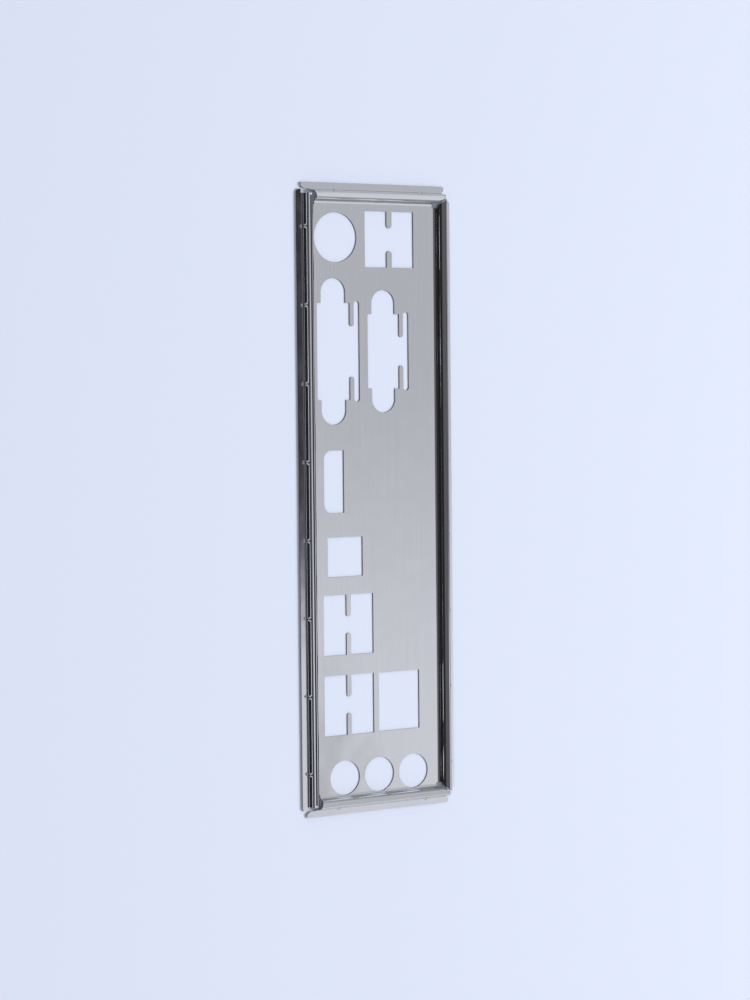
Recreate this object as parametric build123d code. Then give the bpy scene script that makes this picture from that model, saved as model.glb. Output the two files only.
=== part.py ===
from build123d import *
import os

# Motherboard I/O shield: one sheet of thin bright steel, pierced for the ports and folded all round.
# X runs along the shield, from the keyboard port at -X to the sound jacks at +X. Y runs across it,
# with the circuit board side at -Y. +Z is the outside face. The back of the panel lies at Z = 0.
# All sizes are in millimetres.

# Sheet and panel
sheet = 0.30
panel_length = 153.7
panel_width = 38.5

# Ridge, the same section on all four sides, and the narrow flange outside it
ridge_width = 2.45
ridge_rise = 2.45
ridge_lean = 0.12
crown_drop = 0.10
long_flange_width = 1.8
end_flange_width = 1.9
flange_rise = 0.45
flange_droop = 0.16
fold_radius = 0.90
flange_fold_radius = 0.55
crown_inner_radius = 0.65
crown_outer_radius = 0.40

# Corners: the panel's corner is drawn to a low gusset, and the two ridges are slit apart above it
corner_radius = 1.2
gusset_height = 1.5
slit_width = 0.5
slit_start = 0.40
slit_slope = 0.70
end_far_reach = 1.75
end_flange_far_reach = 2.3
long_near_reach = 1.55
long_near_corner = 0.6
long_near_setback = 1.65
long_far_setback = 3.5
flange_corner = 0.9

# Board side ends of the short sides: the ridge stops short in a scoop and the flange runs on to a bevelled tip
end_near_relief = 1.15
end_flange_reach = 3.0
end_tip_radius = 0.45
relief_bulge = 0.4
relief_foot = 1.7

# Snap dimples, pressed outwards high in the outer walls
dimple_pitch = 20.0
dimple_count = 8
end_dimple_pitch = 27.0
end_dimple_count = 2
dimple_radius = 0.70
dimple_tip_radius = 0.25
dimple_height = 0.45
dimple_level = 1.85

# Keyboard port: a round hole
keyboard_x = -67.4
keyboard_y = -11.8
keyboard_radius = 6.4

# Double USB openings, each with two spring fingers: one above the keyboard port, and two in a row
keyboard_web = 2.58
usb_short_x = -67.1
usb_short_length = 14.5
usb_short_width = 15.0
usb_short_finger = 4.3
usb_short_finger_width = 1.6
usb_long_x = 32.2
usb_long_y = -8.85
usb_long_web = 5.2
usb_long_count = 2
usb_long_length = 15.6
usb_long_width = 15.1
usb_long_finger = 5.65
usb_long_finger_width = 1.3

# Video openings: a body, two screw lobes and two spring fingers beside slots
video_x = -38.2
video_slot_end = 0.55
video_finger_width = 1.25
video_slot_width = 1.65
video_corner = 0.5
dvi_y = -11.17
dvi_width = 12.8
dvi_body = 24.9
dvi_overall = 37.6
dvi_lobe_radius = 3.7
dvi_lobe_offset = -1.5
dvi_finger = 5.95
video_web = 2.57
vga_width = 12.6
vga_body = 19.3
vga_overall = 31.7
vga_lobe_radius = 3.55
vga_lobe_offset = -1.55
vga_finger = 5.95

# HDMI opening: the two corners on the board side are round
hdmi_x = -4.8
hdmi_y = -12.9
hdmi_length = 16.1
hdmi_width = 6.0
hdmi_corner = 2.3

# Optical sound opening
optical_x = 14.65
optical_y = -9.7
optical_length = 10.2
optical_width = 10.6

# Network opening, above the last double USB opening
network_web = 1.55
network_length = 15.35
network_width = 12.6

# Sound jacks: three round holes
jack_x = 71.85
jack_y = 0.2
jack_pitch = 10.6
jack_radius = 4.5

# Length past the faces that a cutter runs, so that it goes right through
through = 1.0


def wall_section(flange_width):
    """The sheet's section in plan distance u and height z, with u = 0 at the panel's fold."""
    half = sheet / 2
    crown = sheet + ridge_rise - half
    rim = sheet + flange_rise - half
    path = FilletPolyline(
        (-corner_radius, half),
        (half, half),
        (half + ridge_lean, crown - crown_drop),
        (ridge_width - half - ridge_lean, crown),
        (ridge_width - half, rim),
        (ridge_width + flange_width, rim - flange_droop),
        radius=(fold_radius + half, crown_inner_radius, crown_outer_radius, flange_fold_radius + half),
    )
    return trace(path, sheet)


def folded_side(length, flange_width):
    """One side of the rim, running along X over a length, with its fold on the X axis and +Y outwards."""
    section = Plane.YZ * wall_section(flange_width)
    return Pos(-length / 2, 0, 0) * extrude(section, amount=length)


def closed(*edges):
    """A face inside a chain of edges, closed by a straight line from the end to the start."""
    return make_face([*edges, Line(edges[-1] @ 1, edges[0] @ 0)])


def long_plan(ridge_end, flange_setback):
    """Plan outline of half a long side, from its middle to an end at +X where the ridge stops at two given points."""
    half = panel_length / 2
    fold_end = half - corner_radius
    flange_start = ridge_width + flange_fold_radius
    rim = ridge_width + long_flange_width
    flange_end = half + rim - flange_setback
    outline = Polyline(
        (0, -corner_radius),
        (fold_end, -corner_radius),
        (fold_end, 0),
        *ridge_end,
        (ridge_end[-1][0], flange_start),
        (flange_end, flange_start),
        (flange_end, rim),
        (0, rim),
    )
    plan = closed(*outline.edges())
    corner = plan.vertices().sort_by(Axis.Y)[-2:].sort_by(Axis.X)[-1:]
    return fillet(corner, flange_corner)


def long_far_plan():
    """Half of the long side away from the board: its ridge ends along the slit, and its flange stops short."""
    slit_foot = panel_length / 2 - slit_start
    slit_top = slit_foot + slit_slope * ridge_width
    return long_plan([(slit_foot, 0), (slit_top, ridge_width)], long_far_setback)


def long_near_plan():
    """Half of the long side at the board: its ridge runs on past the panel's corner to a square end."""
    ridge_end = panel_length / 2 + long_near_reach
    return long_plan([(ridge_end - long_near_corner, 0), (ridge_end, long_near_corner)], long_near_setback)


def end_far_plan():
    """Plan outline of half a short side, at the long side away from the board. +X is towards that side."""
    half = panel_width / 2
    fold_end = half - corner_radius
    reach_depth = slit_width - slit_start + slit_slope * end_far_reach
    flange_start = ridge_width + flange_fold_radius
    rim = ridge_width + end_flange_width
    flange_far = half + end_flange_far_reach
    outline = Polyline(
        (0, -corner_radius),
        (fold_end, -corner_radius),
        (fold_end, 0),
        (half + end_far_reach, reach_depth),
        (half + end_far_reach, flange_start),
        (flange_far, flange_start),
        (flange_far, rim),
        (0, rim),
    )
    plan = closed(*outline.edges())
    return fillet(plan.vertices().sort_by(Axis.X)[-2:], end_tip_radius)


def end_near_plan():
    """Plan outline of half a short side, at the board side. -X is towards the board."""
    half = panel_width / 2
    fold_end = half - corner_radius
    near = end_near_relief - half
    foot = ridge_width + flange_fold_radius / 2
    rim = ridge_width + end_flange_width
    flange_near = -half - end_flange_reach
    relief = ThreePointArc(
        (near, sheet + ridge_lean),
        (near - relief_bulge, ridge_width / 2),
        (near - relief_foot, foot),
    )
    fold_edge = Polyline((0, -corner_radius), (-fold_end, -corner_radius), (-fold_end, 0), relief @ 0)
    tip_edge = Polyline(
        relief @ 1,
        (flange_near + flange_corner, foot),
        (flange_near, ridge_width + end_flange_width / 2),
        (flange_near, rim),
        (0, rim),
    )
    plan = closed(*fold_edge.edges(), relief, *tip_edge.edges())
    return fillet(plan.vertices().sort_by(Axis.X)[:2], end_tip_radius)


def dimple_places(pitch, count):
    """Distances along a side of its evenly spaced dimples, centred on the side."""
    return [(number - (count - 1) / 2) * pitch for number in range(count)]


def dimpled(side, pitch, count):
    """Presses a row of hollow cone-shaped dimples outwards in a side's outer wall."""
    root = ridge_width - sheet / 2
    depth = dimple_height + sheet / 2
    for place in dimple_places(pitch, count):
        cone = Cone(dimple_radius, dimple_tip_radius, depth, align=(Align.CENTER, Align.CENTER, Align.MIN))
        outside = Pos(place, root, dimple_level) * Rot(-90, 0, 0) * cone
        inside = Pos(0, -sheet, 0) * outside
        side = side + outside - inside
    return side


def foot_slit(place, direction):
    """Frees the foot of a ridge's inner wall above the drawn corner, from a place outwards along X."""
    length = ridge_width + end_flange_reach
    width = corner_radius + sheet + ridge_lean
    side = Align.MIN if direction > 0 else Align.MAX
    slit = Box(length, width, gusset_height + through, align=(side, Align.MAX, Align.MIN))
    return Pos(place, sheet + ridge_lean, -through) * slit


def flap(half_length, flange_width, plans, pitch, count):
    """A side of the rim, trimmed to a plan outline for each half, slit at its feet and dimpled."""
    length = 2 * (half_length + ridge_width + end_flange_reach)
    fold_end = half_length - corner_radius
    side = folded_side(length, flange_width)
    trimmed = [side & Pos(0, 0, -through) * extrude(plan, amount=ridge_rise + sheet + 2 * through) for plan in plans]
    flapped = trimmed[0] + trimmed[1]
    flapped -= foot_slit(fold_end, 1)
    flapped -= foot_slit(-fold_end, -1)
    return dimpled(flapped, pitch, count)


def corner_gusset():
    """The drawn corner: the fold and the foot of the wall, turned a quarter round the corner's axis."""
    foot = wall_section(long_flange_width) & Pos(0, gusset_height / 2) * Rectangle(2 * corner_radius, gusset_height)
    profile = Pos(corner_radius, 0, 0) * (Plane.XZ * foot)
    return revolve(profile, Axis.Z, 90)


def plate():
    """The flat panel, up to where the folded sides and the drawn corners begin."""
    flat = Rectangle(panel_length - 2 * corner_radius, panel_width - 2 * corner_radius)
    return extrude(flat, amount=sheet)


def folded_blank():
    """Panel, four folded sides and four drawn corners as one solid."""
    half_length = panel_length / 2
    half_width = panel_width / 2
    far_half = long_far_plan()
    near_half = long_near_plan()
    far_plans = (far_half, mirror(far_half, Plane.YZ))
    near_plans = (near_half, mirror(near_half, Plane.YZ))
    far_side = flap(half_length, long_flange_width, far_plans, dimple_pitch, dimple_count)
    near_side = flap(half_length, long_flange_width, near_plans, dimple_pitch, dimple_count)
    end_plans = (end_far_plan(), end_near_plan())
    end_side = flap(half_width, end_flange_width, end_plans, end_dimple_pitch, end_dimple_count)
    body = plate()
    body += Pos(0, half_width, 0) * far_side
    body += mirror(Pos(0, half_width, 0) * near_side, Plane.XZ)
    right_end = Pos(half_length, 0, 0) * Rot(0, 0, -90) * mirror(end_side, Plane.YZ)
    body += right_end
    body += mirror(right_end, Plane.YZ)
    axis = Pos(half_length - corner_radius, half_width - corner_radius, 0)
    gusset = axis * corner_gusset()
    body += gusset
    body += mirror(gusset, Plane.XZ)
    body += mirror(gusset, Plane.YZ)
    body += mirror(mirror(gusset, Plane.YZ), Plane.XZ)
    return body


def usb_opening(x, y, length, width, finger, finger_width):
    """A double USB opening with a round-tipped finger reaching in from each end of its length."""
    hole = Rectangle(length, width)
    straight = finger - finger_width / 2
    for side in (-1, 1):
        stem = Pos(side * (length - straight) / 2, 0) * Rectangle(straight, finger_width)
        tip = Pos(side * (length / 2 - straight), 0) * Circle(finger_width / 2)
        hole -= stem + tip
    return Pos(x, y) * hole


def video_opening(x, y, width, body, overall, lobe_radius, lobe_offset, finger):
    """A video opening: body, screw lobes at both ends, and fingers that a slot frees from the panel."""
    hole = Rectangle(body, width)
    hole = fillet(hole.vertices().group_by(Axis.Y)[0], video_corner)
    lobe = SlotOverall(overall, 2 * lobe_radius)
    hole += Pos(0, lobe_offset) * lobe
    slot = SlotOverall(body + 2 * video_slot_end, video_slot_width)
    hole += Pos(0, (width - video_slot_width) / 2) * slot
    finger_y = width / 2 - video_slot_width - video_finger_width / 2
    straight = finger - video_finger_width / 2
    for side in (-1, 1):
        stem = Pos(side * (body - straight) / 2, finger_y) * Rectangle(straight, video_finger_width)
        tip = Pos(side * (body / 2 - straight), finger_y) * Circle(video_finger_width / 2)
        hole -= stem + tip
    return Pos(x, y) * hole


def hdmi_opening():
    """The HDMI opening, round at the two corners on the board side."""
    hole = Rectangle(hdmi_length, hdmi_width)
    hole = fillet(hole.vertices().group_by(Axis.Y)[0], hdmi_corner)
    return Pos(hdmi_x, hdmi_y) * hole


def port_openings():
    """All the openings pierced in the panel, as flat shapes."""
    openings = [Pos(keyboard_x, keyboard_y) * Circle(keyboard_radius)]
    usb_short_y = keyboard_y + keyboard_radius + keyboard_web + usb_short_width / 2
    openings.append(usb_opening(usb_short_x, usb_short_y, usb_short_length, usb_short_width,
                                usb_short_finger, usb_short_finger_width))
    for number in range(usb_long_count):
        last_usb_x = usb_long_x + number * (usb_long_length + usb_long_web)
        openings.append(usb_opening(last_usb_x, usb_long_y, usb_long_length, usb_long_width,
                                    usb_long_finger, usb_long_finger_width))
    network_y = usb_long_y + usb_long_width / 2 + network_web + network_width / 2
    openings.append(Pos(last_usb_x, network_y) * Rectangle(network_length, network_width))
    openings.append(video_opening(video_x, dvi_y, dvi_width, dvi_body, dvi_overall,
                                  dvi_lobe_radius, dvi_lobe_offset, dvi_finger))
    vga_y = dvi_y + dvi_width / 2 + video_web + vga_width / 2
    openings.append(video_opening(video_x, vga_y, vga_width, vga_body, vga_overall,
                                  vga_lobe_radius, vga_lobe_offset, vga_finger))
    openings.append(hdmi_opening())
    openings.append(Pos(optical_x, optical_y) * Rectangle(optical_length, optical_width))
    for number in (-1, 0, 1):
        openings.append(Pos(jack_x, jack_y + number * jack_pitch) * Circle(jack_radius))
    return openings


def io_shield():
    """The finished shield: the folded blank with its port openings pierced."""
    body = folded_blank()
    for opening in port_openings():
        body -= Pos(0, 0, -through) * extrude(opening, amount=sheet + 2 * through)
    return body.solid()


os.makedirs("parts", exist_ok=True)
export_step(io_shield(), "parts/io_shield.step")
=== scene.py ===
import math

import bpy
from mathutils import Matrix, Vector


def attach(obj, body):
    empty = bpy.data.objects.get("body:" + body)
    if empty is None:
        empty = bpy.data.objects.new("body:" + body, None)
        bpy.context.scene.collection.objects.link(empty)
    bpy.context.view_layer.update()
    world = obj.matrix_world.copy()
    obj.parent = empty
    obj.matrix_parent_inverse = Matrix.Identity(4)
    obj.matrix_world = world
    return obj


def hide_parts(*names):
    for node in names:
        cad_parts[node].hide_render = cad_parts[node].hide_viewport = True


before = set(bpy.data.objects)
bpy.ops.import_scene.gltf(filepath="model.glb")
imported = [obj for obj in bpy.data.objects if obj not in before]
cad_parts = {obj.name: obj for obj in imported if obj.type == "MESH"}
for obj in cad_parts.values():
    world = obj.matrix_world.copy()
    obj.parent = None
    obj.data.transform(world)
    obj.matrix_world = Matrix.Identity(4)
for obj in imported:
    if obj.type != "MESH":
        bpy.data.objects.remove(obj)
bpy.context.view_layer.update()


# The shield: one sheet of thin steel, rolled, tin plated, pierced by a press tool and folded on all four sides.
# Its form is the frame's own. The copy made here has its facets joined, so that the folds and dimples curve
# smoothly, and the tops of its ridges are slightly crowned, as folding leaves them.
def linear(colour):
    """An sRGB hex colour as linear red, green, blue and alpha."""
    parts = [int(colour[i:i + 2], 16) / 255 for i in (1, 3, 5)]
    return [c / 12.92 if c <= 0.04045 else ((c + 0.055) / 1.055) ** 2.4 for c in parts] + [1.0]


def add(tree, kind, settings=None, **links):
    """Adds a node with its settings. An input, named or counted as in i0, takes a value or another node's output."""
    node = tree.nodes.new(kind)
    for name, value in (settings or {}).items():
        setattr(node, name, value)
    for name, value in links.items():
        socket = int(name[1:]) if name[0] == "i" and name[1:].isdigit() else name.replace("_", " ")
        if isinstance(value, bpy.types.NodeSocket):
            tree.links.new(value, node.inputs[socket])
        else:
            node.inputs[socket].default_value = value
    return node


MM = 0.001
merge_distance = 0.002   # mm, far less than the sheet is thick
fold_smoothing = math.radians(32)
half_length = 76.85      # mm from the middle of the panel to its folds
half_width = 19.25
crown_cuts = (0.95, 1.2, 1.5, 1.72)   # mm out from the fold to the extra edges along a ridge's top
crown_apex = 1.9         # and to the highest line of the ridge
crown_radius = 2.9
crown_foot = 1.2         # mm up, where the crown's lowering begins
crown_full = 1.9         # and where it is full
shear_level = 0.8        # mm up, the most that a sheared edge reaches
shear_lean = 0.15        # and the most that its face points up or down

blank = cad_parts["io_shield"]
shield = bpy.data.objects.new("shield_sheet", blank.data.copy())
bpy.context.scene.collection.objects.link(shield)
bpy.ops.object.select_all(action="DESELECT")
shield.select_set(True)
bpy.context.view_layer.objects.active = shield
bpy.ops.object.mode_set(mode="EDIT")
bpy.ops.mesh.select_all(action="SELECT")
bpy.ops.mesh.remove_doubles(threshold=merge_distance * MM)
for cut in crown_cuts:
    for side in (-1, 1):
        end_point = (side * (half_length + cut), 0, 0)
        side_point = (0, side * (half_width + cut), 0)
        for point, across in ((end_point, (1, 0, 0)), (side_point, (0, 1, 0))):
            bpy.ops.mesh.select_all(action="SELECT")
            bpy.ops.mesh.bisect(plane_co=Vector(point) * MM, plane_no=across)
bpy.ops.mesh.customdata_custom_splitnormals_clear()
bpy.ops.object.mode_set(mode="OBJECT")
for vertex in shield.data.vertices:
    x, y, z = vertex.co / MM
    out = max(abs(x) - half_length, abs(y) - half_width)
    if 0 < out < crown_apex and z > crown_foot:
        share = min((z - crown_foot) / (crown_full - crown_foot), 1.0)
        vertex.co.z -= share * (crown_apex - out) ** 2 / (2 * crown_radius) * MM
bpy.ops.object.shade_smooth_by_angle(angle=fold_smoothing)
bpy.ops.object.modifier_add(type="WEIGHTED_NORMAL")
shield.modifiers[0].keep_sharp = True
bpy.ops.object.modifier_apply(modifier=shield.modifiers[0].name)
sheared = shield.data.attributes.new("sheared", "FLOAT", "FACE")
for face in shield.data.polygons:
    top = max(shield.data.vertices[corner].co.z for corner in face.vertices)
    sheared.data[face.index].value = float(abs(face.normal.z) < shear_lean and top < shear_level * MM)

# Tinplate: cold rolled steel with a bright tin coat. It mirrors its surroundings sharply, with a slight cool grey,
# and shows very faint rolling lines along the sheet and a shallow waviness that bends what it reflects. Where the
# press tool sheared the openings and the flange, the bare steel of the edge is dull and darker; its colour is
# darkened further as painted shade, for the shadow on the paper beside and beneath those edges.
tin_light = linear("#DCDCDE")
tin_dark = linear("#D8D8DA")
tin_sharp = 0.055        # the tin coat's roughness, from its sharpest
tin_soft = 0.07          # to its softest, by the rolling lines
# the sheared edges' bare steel, darker than its own tone: painted shade for the shadow beside and under the edges
bare_steel_and_painted_shade = linear("#3A3836")
bare_roughness = 0.45
rolling_line = 0.35      # mm across a rolling line, drawn coarser than the real 0.05 mm so that it shows
rolling_run = 30.0       # mm along it
rolling_depth = 0.002    # mm
rolling_relief = 0.02    # the share of that depth that shows
line_low, line_high = 0.3, 0.7   # the noise's values where the lines' tones begin and end
wave_length = 14.0       # mm between the shallow waves that folding leaves
wave_depth = 0.06        # mm

tinplate = bpy.data.materials.new("bright_tinplate")
tinplate.use_nodes = True
tree = tinplate.node_tree
tree.nodes.clear()
place = add(tree, "ShaderNodeTexCoord").outputs["Object"]
lines_place = add(tree, "ShaderNodeMapping", {"vector_type": "POINT"}, Vector=place,
                  Scale=(1 / (rolling_run * MM), 1 / (rolling_line * MM), 1 / (rolling_line * MM)))
lines = add(tree, "ShaderNodeTexNoise", Vector=lines_place.outputs[0], Scale=1.0, Detail=3.0, Roughness=0.6)
cloud = add(tree, "ShaderNodeTexNoise", Vector=place, Scale=1 / (wave_length * MM), Detail=2.0, Roughness=0.5)
tone = add(tree, "ShaderNodeMapRange", Value=lines.outputs["Fac"], i1=line_low, i2=line_high, i3=0.0, i4=1.0)
colour = add(tree, "ShaderNodeMix", {"data_type": "RGBA"}, i0=tone.outputs[0], i6=tin_light, i7=tin_dark)
gloss = add(tree, "ShaderNodeMapRange", Value=lines.outputs["Fac"],
            i1=line_low, i2=line_high, i3=tin_sharp, i4=tin_soft)
# The sheared faces take the bare steel's colour, which holds painted shade.
edge = add(tree, "ShaderNodeAttribute", {"attribute_name": "sheared"}).outputs["Fac"]
edge_colour = add(tree, "ShaderNodeMix", {"data_type": "RGBA"}, i0=edge, i6=colour.outputs[2], i7=bare_steel_and_painted_shade)
edge_gloss = add(tree, "ShaderNodeMix", i0=edge, i2=gloss.outputs[0], i3=bare_roughness)
line_bump = add(tree, "ShaderNodeBump", Height=lines.outputs["Fac"],
                Strength=rolling_relief, Distance=rolling_depth * MM)
wave_bump = add(tree, "ShaderNodeBump", Height=cloud.outputs["Fac"], Normal=line_bump.outputs[0],
                Strength=1.0, Distance=wave_depth * MM)
surface = add(tree, "ShaderNodeBsdfPrincipled", Base_Color=edge_colour.outputs[2], Metallic=1.0,
              Roughness=edge_gloss.outputs[0], Normal=wave_bump.outputs[0])
add(tree, "ShaderNodeOutputMaterial", Surface=surface.outputs[0])

shield.data.materials.clear()
shield.data.materials.append(tinplate)
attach(shield, "root")
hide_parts("io_shield")


# The floor: a wide sheet of pale paper that the shield lies on, matt and very slightly blue. It isn't part of the
# object.
paper_light = linear("#E3EAFB")
paper_fibre = linear("#E1E8F9")
paper_roughness = 0.9
paper_width = 6.0        # m
fibre = 0.5              # mm, the paper's grain

bpy.ops.mesh.primitive_plane_add(size=paper_width, location=(0, 0, 0))
floor = bpy.context.active_object
floor.name = "paper_floor"
paper = bpy.data.materials.new("pale_paper")
paper.use_nodes = True
tree = paper.node_tree
tree.nodes.clear()
place = add(tree, "ShaderNodeTexCoord").outputs["Object"]
grain = add(tree, "ShaderNodeTexNoise", Vector=place, Scale=1 / (fibre * MM), Detail=2.0)
colour = add(tree, "ShaderNodeMix", {"data_type": "RGBA"}, i0=grain.outputs["Fac"], i6=paper_light, i7=paper_fibre)
sheet = add(tree, "ShaderNodeBsdfPrincipled", Base_Color=colour.outputs[2], Roughness=paper_roughness)
add(tree, "ShaderNodeOutputMaterial", Surface=sheet.outputs[0])
floor.data.materials.append(paper)


# The studio: a soft lamp past the far long side, and a larger, weaker one over the board side. The bright metal
# mirrors the room, so the world has its tones by direction: a pale wall seen between two heights past the far
# long side, a bright end past the sound jacks, grey side walls and ceiling, and a dim room behind the camera.
room_wall = linear("#E9EBF3")
room_dim = linear("#2B292A")
room_seen = linear("#E4EAF6")    # what the camera itself sees past the paper

world = bpy.data.worlds.new("studio_room")
world.use_nodes = True
bpy.context.scene.world = world
tree = world.node_tree
tree.nodes.clear()
heading = add(tree, "ShaderNodeTexCoord").outputs["Generated"]
parts = add(tree, "ShaderNodeSeparateXYZ", Vector=heading)
along = parts.outputs[0]
sideways = add(tree, "ShaderNodeMath", {"operation": "ABSOLUTE"}, i0=along).outputs[0]
lean = add(tree, "ShaderNodeMath", {"operation": "ARCTAN2"}, i0=parts.outputs[1], i1=parts.outputs[2]).outputs[0]

# The room's smooth changes of tone. Each follows a direction's lean from upright towards the far side, in degrees,
# or how far it points along the shield, and has the limits of the change, then the tone before and after it.
fades = (
    ("wall_top", lean, 21, 28, 0.0, 1.0),
    ("wall_bottom", lean, 48, 60, 1.0, 0.0),
    ("wall_side", along, -0.02, 0.14, 0.72, 1.0),    # the wall is darker towards the keyboard port
    ("wall_foot", lean, 35, 44, 1.0, 1.10),          # and lighter lower down
    ("shade_side", along, 0.10, 0.14, 0.0, 0.28),    # and a shade lies over its upper part by the sound jacks
    ("shade_bottom", lean, 31.3, 33.2, 1.0, 0.0),
    ("end_side", along, 0.05, 0.115, 0.0, 1.0),
    ("end_top", lean, 13, 19, 0.0, 1.0),
    ("side_walls", sideways, 0.34, 0.52, 0.0, 0.50),
    ("ceiling_back", lean, -50, -35, 0.0, 1.0),
    ("ceiling_front", lean, 15, 19, 0.14, 0.0),
)
tones = {}
for name, follows, low, high, before, after in fades:
    if follows is lean:
        low, high = math.radians(low), math.radians(high)
    fade = add(tree, "ShaderNodeMapRange", {"interpolation_type": "SMOOTHSTEP"}, Value=follows,
               i1=low, i2=high, i3=before, i4=after)
    tones[name] = fade.outputs[0]

# How they join to the room, one step at a time.
joins = (
    ("shade", "MULTIPLY", "shade_side", "shade_bottom"),
    ("wall_height", "SUBTRACT", "wall_foot", "shade"),
    ("wall_tone", "MULTIPLY", "wall_side", "wall_height"),
    ("wall_band", "MULTIPLY", "wall_top", "wall_bottom"),
    ("wall", "MULTIPLY", "wall_band", "wall_tone"),
    ("above_wall", "SUBTRACT", 1.0, "wall_top"),
    ("end_band", "MULTIPLY", "end_top", "above_wall"),
    ("end", "MULTIPLY", "end_side", "end_band"),
    ("bright", "ADD", "wall", "end"),
    ("ceiling", "MULTIPLY", "ceiling_back", "ceiling_front"),
    ("grey", "MAXIMUM", "side_walls", "ceiling"),
    ("room", "MAXIMUM", "bright", "grey"),
)
for name, operation, first, second in joins:
    join = add(tree, "ShaderNodeMath", {"operation": operation},
               i0=tones.get(first, first), i1=tones.get(second, second))
    tones[name] = join.outputs[0]

room = add(tree, "ShaderNodeMix", {"data_type": "RGBA", "clamp_factor": False},
           i0=tones["room"], i6=room_dim, i7=room_wall)
seen = add(tree, "ShaderNodeBackground", Color=room_seen, Strength=1.0)
mirrored = add(tree, "ShaderNodeBackground", Color=room.outputs[2], Strength=1.0)
path = add(tree, "ShaderNodeLightPath")
pick = add(tree, "ShaderNodeMixShader", i0=path.outputs["Is Camera Ray"],
           i1=mirrored.outputs[0], i2=seen.outputs[0])
add(tree, "ShaderNodeOutputWorld", Surface=pick.outputs[0])


def soft_lamp(name, place, size, power):
    """A soft square lamp aimed at the middle of the shield. It lights the paper, and the metal doesn't mirror it."""
    data = bpy.data.lights.new(name, "AREA")
    data.shape = "SQUARE"
    data.size = size
    data.energy = power
    lamp = bpy.data.objects.new(name, data)
    lamp.location = place
    lamp.rotation_euler = (-Vector(place)).to_track_quat("-Z", "Y").to_euler()
    lamp.visible_glossy = False
    bpy.context.scene.collection.objects.link(lamp)


soft_lamp("lamp_far", place=(0.1, 1.15, 1.3), size=0.5, power=20.0)
soft_lamp("lamp_near", place=(0.1, -0.9, 1.6), size=1.5, power=6.8)


# The camera looks down at the shield from its board side, about 33 degrees off the upright, with the keyboard port
# at the top of its picture.
picture_height = 1000    # pixels
lens_pixels = 2641.0     # focal length in the same pixels
sensor = 36.0            # mm along the picture's height
camera_place = Vector((-32.4, -372.1, 574.9)) * MM
camera_right = Vector((0.0094, 0.8394, 0.5435))
camera_back = Vector((-0.0477, -0.5425, 0.8387))

camera_data = bpy.data.cameras.new("camera")
camera_data.sensor_width = sensor
camera_data.lens = lens_pixels / picture_height * sensor
camera_data.clip_start = 0.05
camera_data.clip_end = 20.0
camera = bpy.data.objects.new("camera", camera_data)
back = camera_back.normalized()
right = (camera_right - back * camera_right.dot(back)).normalized()
up = back.cross(right)
camera.matrix_world = Matrix((
    (right.x, up.x, back.x, camera_place.x),
    (right.y, up.y, back.y, camera_place.y),
    (right.z, up.z, back.z, camera_place.z),
    (0, 0, 0, 1),
))
bpy.context.scene.collection.objects.link(camera)
bpy.context.scene.camera = camera
bpy.context.scene.view_settings.view_transform = "Standard"
